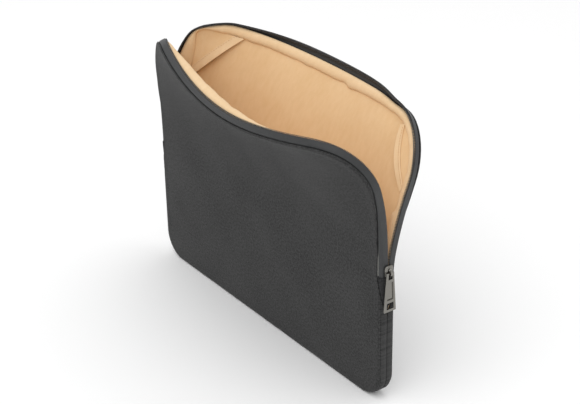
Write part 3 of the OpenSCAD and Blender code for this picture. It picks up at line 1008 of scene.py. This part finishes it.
# %% The two tapes


def make_tape_strip(flap_name, along=260, across=12):
    """Zip tape of one panel, from under the canvas to the free edge that carries the coil."""
    bm = bmesh.new()
    bmesh.ops.create_grid(bm, x_segments=along, y_segments=across, size=1)
    grid = coordinates(bm)
    a = (grid[:, 0] + 1) / 2 * ZIP_LENGTH
    _, v = rim_place(a, 0 * a)
    first = canvas_edge(v) - WAY_TAPE - 0.5
    share = (grid[:, 1] + 1) / 2
    way = first + (TAPE_W - first) * share
    tuck = TUCK * np.exp(-((way - first - 0.5) / 1.3) ** 2)
    for vert, x, y, z in zip(bm.verts, a, tuck, way):
        vert.co = (x, y, z)
    face_outwards(bm)
    bmesh.ops.solidify(bm, geom=bm.faces[:], thickness=TAPE_T)
    sew_along(bm, flap_name)
    return finish_piece(bm, flap_name + "_zip_tape_ribbon", tape_cloth)


front_tape = make_tape_strip("front")
back_tape = make_tape_strip("back")
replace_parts(front_tape, "front_zip_tape", "zip_tape_lower_right")
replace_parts(back_tape, "back_zip_tape", "zip_tape_lower_left")
bend_at_fold(front_tape)
bend_at_fold(back_tape)

# %% A straight coil
COIL_TURNS = 420
COIL_PITCH = (ZIP_LENGTH - 3) / COIL_TURNS
COIL_START = 1.5
COIL_WIRE = 0.36
COIL_HALF_W, COIL_HALF_H = 1.15, 0.75
COIL_STEPS = 8


def one_turn():
    """One turn of a round spiral, spun from a small circle of wire."""
    bm = bmesh.new()
    circle = bmesh.ops.create_circle(bm, segments=5, radius=COIL_WIRE,
                                     matrix=Matrix.Translation((COIL_START, 0, 1.0)))
    geom = circle["verts"] + linked(circle["verts"], "link_edges")
    bmesh.ops.spin(bm, geom=geom, cent=(COIL_START, 0, 0), axis=(1, 0, 0),
                   dvec=(COIL_PITCH / COIL_STEPS, 0, 0), angle=math.tau, steps=COIL_STEPS)
    mesh = bpy.data.meshes.new("coil_turn")
    bm.to_mesh(mesh)
    bm.free()
    return mesh


def whole_coil():
    """Every turn of the straight coil, as a bmesh."""
    turn_piece = bpy.data.objects.new("coil_turn", one_turn())
    bpy.context.scene.collection.objects.link(turn_piece)
    row = turn_piece.modifiers.new("turns", "ARRAY")
    row.count = COIL_TURNS
    row.use_relative_offset = False
    row.use_constant_offset = True
    row.constant_offset_displace = (COIL_PITCH, 0, 0)
    row.use_merge_vertices = True
    row.merge_threshold = 0.01
    whole = turn_piece.evaluated_get(bpy.context.evaluated_depsgraph_get()).to_mesh()
    bm = bmesh.new()
    bm.from_mesh(whole)
    bpy.data.objects.remove(turn_piece)
    return bm


print(f"a coil has {COIL_TURNS} turns, {COIL_PITCH:.2f} mm apart")

# %% The two coils
COIL_OFF = 1.45  # how far the coil's middle lies off the tape, to the inside


def make_coil(flap_name):
    """A flattened nylon spiral along the tape's free edge."""
    bm = whole_coil()
    bmesh.ops.holes_fill(bm, edges=[e for e in bm.edges if e.is_boundary], sides=5)
    for vert in bm.verts:
        off = COIL_OFF + COIL_HALF_H * vert.co.y
        vert.co = (vert.co.x, off, TAPE_W - 0.2 + COIL_HALF_W * vert.co.z)
    sew_along(bm, flap_name)
    return finish_piece(bm, flap_name + "_zip_coil_turns", nylon)


front_coil = make_coil("front")
back_coil = make_coil("back")
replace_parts(front_coil, "front_zip_coil", "zip_coil_lower_right")
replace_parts(back_coil, "back_zip_coil", "zip_coil_lower_left")
bend_at_fold(front_coil)
bend_at_fold(back_coil)

# %% [markdown]
# ## End tabs
#
# A folded scrap of canvas is sewn over each end of the zip. It tapers down into the side seam and
# bulges a little, because the end of the zip lies under it. A box would show a hard edge where
# cloth meets cloth, so the tab is a grid that starts under one canvas and ends under the other.

# %% The two end tabs
TAB_SUNK = 0.35  # how deep the tab lies below the canvas beside it
TAB_TUCK = 1.6  # how much deeper its sewn edges go
TAB_BULGE = 0.35
TAB_T = 0.6


def make_end_tab(name, end, across=24, along=20):
    """End tab on the right (end 1) or left (end -1). It fills the gap between the two canvases."""
    bm = bmesh.new()
    bmesh.ops.create_grid(bm, x_segments=across, y_segments=along, size=1)
    grid = coordinates(bm)
    z = TAB_END + (grid[:, 1] + 1) / 2 * (ZIP_END + 1.5 - TAB_END)
    first = canvas_edge(z) - 0.4
    way = first + (WAY_END - first) * (1 - np.abs(grid[:, 0]))
    tucked = TAB_TUCK * np.exp(-((way - first - 0.5) / 1.2) ** 2)
    bulge = TAB_BULGE * (grid[:, 1] + 1) / 2 * np.clip((way - first) / 4, 0, 1)
    inset, depth = edge_point(way, TAB_SUNK + tucked - bulge)
    y = np.sign(grid[:, 0]) * (HALF_T - np.minimum(depth, HALF_T))
    for vert, inset_i, y_i, z_i in zip(bm.verts, inset, y, z):
        vert.co = (HALF_W - inset_i, y_i, z_i)
    face_outwards(bm, out=(1, 0, 0))
    bmesh.ops.solidify(bm, geom=bm.faces[:], thickness=TAB_T)
    bm.verts.index_update()
    write_uv(bm, coordinates(bm)[:, [1, 2]])
    bmesh.ops.scale(bm, vec=(end, 1, 1), verts=bm.verts)
    piece = finish_piece(bm, name, tab_canvas)
    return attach(piece, "lower_sleeve")


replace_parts(make_end_tab("end_tab_right", 1), "zip_end_tab_right")
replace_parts(make_end_tab("end_tab_left", -1), "zip_end_tab_left")

# %% [markdown]
# ## Corner straps
#
# A strap of lining cloth crosses each upper corner of the back panel, to hold a corner of the
# laptop. Its free edge is folded into a wide hem with a row of stitches, and it stands a little
# off the lining, which is why it throws a thin shadow.
#
# The strap could be cut from the lining's own mesh, but it is a second cloth with its own weave
# direction. So it is a grid that starts at the free edge and runs in to the crease that ends it.

# %% Where a strap lies
# Ends of each strap's free edge on the flat pattern, and how near its corner comes to the outline
STRAP_ENDS = {"left": ((-106, 254), (-155, 203)), "right": ((137, 250), (165, 199))}
STRAP_LEAST = {"left": 3.6, "right": 8.0}
STRAP_DEPTH = LINING_DEPTH + 1.5
STRAP_LIFT = 3.6  # how far the middle of the free edge stands off the lining
STRAP_REACH = 48.0  # from the free edge to beyond the corner
STRAP_SAG = 2.2  # how far the middle of the free edge hangs out of its straight line
STRAP_T = 0.7
HEM_W = {"left": 9.0, "right": 5.5}  # width of the folded hem
HEM_T = 1.3


def keep_in_corner(name, place):
    """Moves a place of the strap's cloth in to the crease that ends it."""
    u, v = place
    if name == "left":
        u, v = max(u, -CREASE_SIDE - 0.5), min(v, CREASE_TOP + 0.5)
    inside = float(inset_of(np.array([u]), np.array([v]))[0])
    if inside < STRAP_LEAST[name]:
        x, z = outward(np.array([u]), np.array([v]))
        push = STRAP_LEAST[name] - inside
        u, v = u - x[0] * push, v - z[0] * push
    return u, v


def strap_point(name, k, reach):
    """Place and lift at the share k along the free edge and the reach towards the corner."""
    top, low = (np.array(end, float) for end in STRAP_ENDS[name])
    run = low - top
    across = np.array([run[1], -run[0]]) / np.linalg.norm(run)
    if across[1] < 0:
        across = -across
    sag = STRAP_SAG * math.sin(math.pi * k) * max(0, 1 - reach / 30)
    place = top + run * k + across * (reach - sag)
    lift = STRAP_LIFT * math.sin(math.pi * k) * max(0, 1 - reach / 20) ** 1.5
    return *keep_in_corner(name, place), lift


def strap_grid(name, along, across, reach0, reach1, raised=0.0):
    """A flat grid from the strap's free edge towards its corner."""
    bm = bmesh.new()
    bmesh.ops.create_grid(bm, x_segments=along, y_segments=across, size=1)
    for vert in bm.verts:
        reach = reach0 + (reach1 - reach0) * (vert.co.y + 1) / 2
        u, v, lift = strap_point(name, (vert.co.x + 1) / 2, reach)
        vert.co = (u, STRAP_DEPTH + lift + raised, v)
    return bm


print("free edges:", {name: f"{math.dist(*ends):.0f} mm" for name, ends in STRAP_ENDS.items()})

# %% The stitches of a hem
STITCH_HALF = (0.95, 0.22, 0.28)  # half length, height and width of a stitch
STITCH_IN = 1.0  # from the row of stitches to the hem's turned-in edge


def make_stitches(name, count=22):
    """A row of small stitches that holds the hem's turned-in edge."""
    bm = bmesh.new()
    for i in range(count):
        k = 0.07 + 0.86 * i / (count - 1)
        u, v, lift = strap_point(name, k, HEM_W[name] - STITCH_IN)
        u2, v2, _ = strap_point(name, k + 0.02, HEM_W[name] - STITCH_IN)
        turn = Matrix.Rotation(-math.atan2(v2 - v, u2 - u), 4, "Y")
        place = Matrix.Translation((u, STRAP_DEPTH + lift + HEM_T + 0.15, v))
        shape = Matrix.Diagonal((*STITCH_HALF, 1))
        bmesh.ops.create_icosphere(bm, subdivisions=1, radius=1, matrix=place @ turn @ shape)
    on_panel(bm, "back")
    piece = finish_piece(bm, "corner_strap_stitches_" + name, thread)
    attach(piece, "back_flap")
    return piece


print(f"a stitch is {2 * STITCH_HALF[0]:.1f} mm long")

# %% The two straps


def make_strap(name):
    """The strap, its folded hem and the row of stitches."""
    bm = strap_grid(name, 40, 30, 0.4, STRAP_REACH)
    cut_area = sum(face.calc_area() for face in bm.faces)
    thicken(bm, STRAP_T)
    on_panel(bm, "back")
    strap = finish_piece(bm, "corner_strap_cloth_" + name, lining_cloth)
    bm = strap_grid(name, 40, 8, 0, HEM_W[name], raised=HEM_T)
    thicken(bm, HEM_T - 0.1)
    soften(bm, 0.35)
    on_panel(bm, "back")
    # the hem takes the lining painted lighter, as painted light on the raised fold
    hem = finish_piece(bm, "corner_strap_hem_" + name, lit_lining_cloth)
    for piece in (strap, hem):
        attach(piece, "back_flap")
    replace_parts(strap, "corner_strap_" + name)
    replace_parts(hem, "corner_hem_" + name)
    stitches = make_stitches(name)


make_strap("left")
make_strap("right")

# %% [markdown]
# ## Slider and pull
#
# The slider is a small die casting, plated and polished. Two shield-shaped plates hold the zip
# between them, and a crown-like bail on the outer plate carries the pull. The pull has an eye at
# the top, a sunk middle and a window near its free end.
#
# Booleans could cut the openings, but they leave long thin faces that catch the light badly. Here
# a grid is laid out so that its lines fall on the edges of the eye, the sunk middle and the
# window. Those faces are then deleted or sunk, and one bevel rounds every edge.

# %% Places of the slider's parts
slider_low, slider_high = box_mm("slider_body")
bail_low, bail_high = box_mm("slider_bail")
pull_low, pull_high = box_mm("pull_tab")
SLIDER_W = slider_high.y - slider_low.y
PLATE_T = 1.0
DOME_R = 4.0  # radius of the round boss at the top of the outer plate
PULL_TOP_W = 7.6
PIVOT = Vector(next(j for j in frame["joints"] if j["name"] == "pull_swing")["pos_m"]) / MM
print(f"slider {SLIDER_W:.1f} mm wide, pivot at z {PIVOT.z:.1f} mm")

# %% Slider body
SQUARENESS = 0.55  # a power below 1 pushes a circle's sides out towards a square
FOOT_WIDTH = 0.86  # width of a plate's lower end, as a share of its top
WEDGE_SIZE = (0.9, 4.0)  # width and height of the wedge that parts the two coils
WEDGE_DROP = 3  # its middle lies this far below the slider's top
CAST_ROUND = 0.28  # radius of the casting's rounded edges
DOME_RISE = 0.95  # how far the round boss bulges
DOME_SUNK = 0.1  # the boss sits a little way into the plate, so no gap shows
RING_IN = 0.6  # the ring lies this far inside the boss's rim
RING_WIRE = 0.5
RING_OUT = 0.1


def add_plate(bm, x0, x1):
    """One shield-shaped plate of the slider, wide at the top where the two tapes enter."""
    w, z0, z1 = SLIDER_W / 2, slider_low.z, slider_high.z
    circle = bmesh.ops.create_circle(bm, cap_ends=True, segments=28, radius=1,
                                     matrix=Matrix.Rotation(math.pi / 2, 4, "Y"))
    for vert in circle["verts"]:
        y = math.copysign(abs(vert.co.y) ** SQUARENESS, vert.co.y)
        z = math.copysign(abs(vert.co.z) ** SQUARENESS, vert.co.z)
        narrow = FOOT_WIDTH + (1 - FOOT_WIDTH) * (z + 1) / 2
        vert.co = (x0, y * w * narrow, (z0 + z1) / 2 + z * (z1 - z0) / 2)
    top = extrude(bm, linked(circle["verts"], "link_faces"))
    bmesh.ops.translate(bm, vec=(x1 - x0, 0, 0), verts=top)


def add_ring(bm, x, z, radius, wire):
    """A raised ring round the dome, spun from a small circle."""
    circle = bmesh.ops.create_circle(bm, segments=10, radius=wire,
                                     matrix=Matrix.Translation((x + RING_OUT, 0, z + radius))
                                     @ Matrix.Rotation(math.pi / 2, 4, "X"))
    geom = circle["verts"] + linked(circle["verts"], "link_edges")
    bmesh.ops.spin(bm, geom=geom, cent=(x, 0, z), axis=(1, 0, 0), angle=math.tau, steps=36,
                   use_merge=True)


def make_slider():
    """Two plates, the wedge between them, and a round boss with a raised ring."""
    bm = bmesh.new()
    add_plate(bm, slider_high.x - PLATE_T, slider_high.x)
    add_plate(bm, slider_low.x, slider_low.x + PLATE_T)
    wedge = bmesh.ops.create_cube(bm, size=1)
    depth = slider_high.x - slider_low.x - PLATE_T
    bmesh.ops.scale(bm, vec=(depth, *WEDGE_SIZE), verts=wedge["verts"])
    middle = Vector(((slider_high.x + slider_low.x) / 2, 0, slider_high.z - WEDGE_DROP))
    bmesh.ops.translate(bm, vec=middle, verts=wedge["verts"])
    soften(bm, CAST_ROUND)
    dome = bmesh.ops.create_uvsphere(bm, u_segments=28, v_segments=14, radius=1)["verts"]
    bmesh.ops.scale(bm, vec=(DOME_RISE, DOME_R, DOME_R), verts=dome)
    dome_z = slider_high.z - DOME_R
    bmesh.ops.translate(bm, vec=(slider_high.x - DOME_SUNK, 0, dome_z), verts=dome)
    add_ring(bm, slider_high.x, dome_z, DOME_R - RING_IN, RING_WIRE)
    piece = finish_piece(bm, "slider_casting", nickel)
    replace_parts(piece, "slider_body")
    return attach(piece, "slider")


make_slider()

# %% Slider bail
BAIL_START = math.radians(12)  # the arch starts this far beyond straight down
BAIL_TURN = math.radians(204)
CROWN_SWELL = 0.35  # how much wider the wire is at the arch's crown


def make_bail():
    """A thick wire arch that swells at its crown and goes into the plate at both ends."""
    bm = bmesh.new()
    centre = Vector((bail_low.x, 0, (bail_low.z + bail_high.z) / 2))
    wire = (bail_high.y - bail_low.y) / 2
    radius = (bail_high.z - bail_low.z) / 2 - wire
    ring = bmesh.ops.create_circle(bm, segments=12, radius=wire)["verts"]
    for vert in ring:
        vert.co = (0, vert.co.y, -radius + vert.co.x)
    bmesh.ops.rotate(bm, cent=(0, 0, 0), matrix=Matrix.Rotation(BAIL_START, 3, "Y"), verts=ring)
    bmesh.ops.spin(bm, geom=ring + linked(ring, "link_edges"), cent=(0, 0, 0), axis=(0, -1, 0),
                   angle=BAIL_TURN, steps=28)
    for vert in bm.verts:
        crown = max(0.0, vert.co.x / (radius + wire))
        vert.co.y *= 1 + CROWN_SWELL * crown**2
    bmesh.ops.holes_fill(bm, edges=[e for e in bm.edges if e.is_boundary], sides=12)
    bmesh.ops.translate(bm, vec=centre, verts=bm.verts)
    piece = finish_piece(bm, "slider_bail_arch", nickel)
    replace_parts(piece, "slider_bail")
    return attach(piece, "slider")


make_bail()

# %% The pull's grid
# Heights of the pull's rows. The eye lies in row 1, the sunk middle in row 3, the window in row 5.
PULL_ROWS = [PIVOT.z + 0.7, PIVOT.z - 0.8, PIVOT.z - 5.8, PIVOT.z - 8.6,
             pull_low.z + 11.5, pull_low.z + 8.6, pull_low.z + 2.6, pull_low.z]
PULL_COLUMNS = [-1.0, -0.62, 0.62, 1.0]
EYE_ROW, SUNK_ROW, WINDOW_ROW = 1, 3, 5
EYE_NARROW = 0.85  # the eye is a little narrower than the openings below it
PULL_HALF_W = (pull_high.y - pull_low.y) / 2


def pull_grid():
    """The front face of the pull, tapered, with its lines on the edges of the openings."""
    bm = bmesh.new()
    last_column, last_row = len(PULL_COLUMNS) - 1, len(PULL_ROWS) - 1
    bmesh.ops.create_grid(bm, x_segments=last_column, y_segments=last_row, size=1)
    top, low = PULL_ROWS[0], PULL_ROWS[-1]
    for vert in bm.verts:
        column = PULL_COLUMNS[round((vert.co.x + 1) / 2 * last_column)]
        row = round((vert.co.y + 1) / 2 * last_row)
        z = PULL_ROWS[row]
        half = PULL_TOP_W / 2 + (PULL_HALF_W - PULL_TOP_W / 2) * (top - z) / (top - low)
        if row < SUNK_ROW and abs(column) < 1:
            column *= EYE_NARROW
        vert.co = (pull_high.x, column * half, z)
    return bm


def middle_faces(bm, row):
    """The faces of one row that lie between the two side bars."""
    found = []
    for face in bm.faces:
        centre = face.calc_center_median()
        is_row = sum(centre.z < z for z in PULL_ROWS[1:-1]) == row
        if is_row and abs(centre.y) < 0.3 * PULL_HALF_W:
            found.append(face)
    return found


print(f"the pull is {PULL_ROWS[0] - PULL_ROWS[-1]:.1f} mm long and {2 * PULL_HALF_W:.1f} mm wide")

# %% Pull tab
LEDGE_W = 0.6  # width of the ledge round the sunk middle
SINK = 0.6
RIB_SIDE = 1.5  # the rib stops this far from the sunk middle's edge
RIB_HEIGHT = 0.55
PULL_ROUND = 0.3  # radius of the tab's rounded edges


def make_pull():
    """A tapered plate with an eye, a sunk middle with a raised rib, and a window."""
    bm = pull_grid()
    holes = middle_faces(bm, EYE_ROW) + middle_faces(bm, WINDOW_ROW)
    sunk = middle_faces(bm, SUNK_ROW)
    bmesh.ops.inset_region(bm, faces=sunk, thickness=LEDGE_W, depth=0)
    bmesh.ops.translate(bm, vec=(-SINK, 0, 0), verts=linked(sunk, "verts"))
    bmesh.ops.inset_region(bm, faces=sunk, thickness=RIB_SIDE, depth=0)
    bmesh.ops.translate(bm, vec=(RIB_HEIGHT, 0, 0), verts=linked(sunk, "verts"))
    bmesh.ops.delete(bm, geom=holes, context="FACES")
    bmesh.ops.recalc_face_normals(bm, faces=bm.faces)
    for vert in extrude(bm, bm.faces[:]):
        vert.co.x = pull_low.x
    bmesh.ops.recalc_face_normals(bm, faces=bm.faces)
    soften(bm, PULL_ROUND, segments=3, angle=math.radians(30))
    piece = finish_piece(bm, "pull_tab_casting", nickel)
    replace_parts(piece, "pull_tab")
    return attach(piece, "pull")


make_pull()

# %% [markdown]
# ## Finishes of the parts that keep their CAD shape
#
# The seam bindings inside the sleeve and the crimped stops are simple shapes already. They could
# be modelled again, but little of them shows, so they keep their frame meshes and take the right
# finish. A CAD mesh has no UV map, so these finishes read Object coordinates.

# %% Assign finishes
binding_cloth = make_plain("polyester_binding_tape", "#3f4344", 0.8, grain_mm=0.8)
for node_name, finish in {
    "bottom_seam_binding": binding_cloth,
    "side_seam_binding_right": binding_cloth,
    "side_seam_binding_left": binding_cloth,
    "zip_end_stops": nickel,
}.items():
    mesh = frame["nodes"][node_name].data
    mesh.materials.clear()
    mesh.materials.append(finish)
    print(f"{node_name}: {finish.name}")

# %% [markdown]
# ## Floor, light and camera
#
# A pale floor and a bright room give the soft, even light of a product table. A sky texture would
# tint the tan lining, so the room is plain white. One large lamp overhead lights the inside of the
# back panel, and a second from the front keeps the dark canvas readable.

# %% Floor
FLOOR_HALF = 8  # metres
floor_mesh = bpy.data.meshes.new("floor")
bm = bmesh.new()
bmesh.ops.create_grid(bm, x_segments=1, y_segments=1, size=FLOOR_HALF)
bm.to_mesh(floor_mesh)
bm.free()
floor = bpy.data.objects.new("floor", floor_mesh)
bpy.context.scene.collection.objects.link(floor)
floor_finish, floor_tree, floor_shader = new_material("pale_floor_paint")
floor_shader.inputs["Base Color"].default_value = linear("#fbfbfb")
floor_shader.inputs["Roughness"].default_value = 0.9
floor_mesh.materials.append(floor_finish)
print(f"the floor is {floor.dimensions.x:.0f} m wide")

# %% World and lamps
ROOM_LIGHT = 0.88  # what the room gives the object
ROOM_SEEN = 1.0  # what is seen behind it
world = bpy.data.worlds.new("studio")
bpy.context.scene.world = world
world.use_nodes = True
sky = world.node_tree
seen = add(sky, "ShaderNodeLightPath")
strength = add(sky, "ShaderNodeMapRange",
               {"Value": (seen, "Is Camera Ray"), "To Min": ROOM_LIGHT, "To Max": ROOM_SEEN})
sky.nodes["Background"].inputs["Color"].default_value = (1, 1, 1, 1)
sky.links.new(strength.outputs["Result"], sky.nodes["Background"].inputs["Strength"])


def add_lamp(name, place, aim, size, power):
    """A square area lamp that faces a point. Places are in metres."""
    data = bpy.data.lights.new(name, "AREA")
    data.size = size
    data.energy = power
    lamp = bpy.data.objects.new(name, data)
    bpy.context.scene.collection.objects.link(lamp)
    lamp.location = place
    lamp.rotation_euler = (Vector(aim) - Vector(place)).to_track_quat("-Z", "Y").to_euler()
    print(f"{name}: {power} W, {size} m square")
    return lamp


LAMPS_AIM = (0, 0, 0.15)
add_lamp("overhead_softbox", (0.3, -0.5, 1.8), LAMPS_AIM, 1.8, 12)
add_lamp("front_softbox", (1.6, -1.8, 0.9), LAMPS_AIM, 1.6, 6)

# %% Camera
# The azimuth turns from straight in front, at 0, to the zip's right end, at 90 degrees.
AZIMUTH, ELEVATION, ROLL = math.radians(55.16), math.radians(27.75), math.radians(-1.53)
DISTANCE = 1.391  # metres from the target
TARGET = Vector((0, 0, 0.12))
SENSOR_W = 36
FRAME_W = 580  # the frame's width, which the next two values are counted in
FOCAL = 1487.0
SHIFT = (21.8, 6.4)
camera_data = bpy.data.cameras.new("camera")
camera = bpy.data.objects.new("camera", camera_data)
bpy.context.scene.collection.objects.link(camera)
bpy.context.scene.camera = camera
back_way = Vector((math.sin(AZIMUTH) * math.cos(ELEVATION),
                   -math.cos(AZIMUTH) * math.cos(ELEVATION),
                   math.sin(ELEVATION)))
camera.location = TARGET + back_way * DISTANCE
turn = (-back_way).to_track_quat("-Z", "Y").to_matrix() @ Matrix.Rotation(ROLL, 3, "Z")
camera.rotation_euler = turn.to_euler()
camera_data.sensor_width = SENSOR_W
camera_data.lens = FOCAL / FRAME_W * SENSOR_W
camera_data.shift_x = SHIFT[0] / FRAME_W
camera_data.shift_y = SHIFT[1] / FRAME_W
camera_data.clip_end = 50
bpy.context.scene.view_settings.view_transform = "Standard"
print(f"the lens is {camera_data.lens:.0f} mm on a {SENSOR_W} mm sensor")
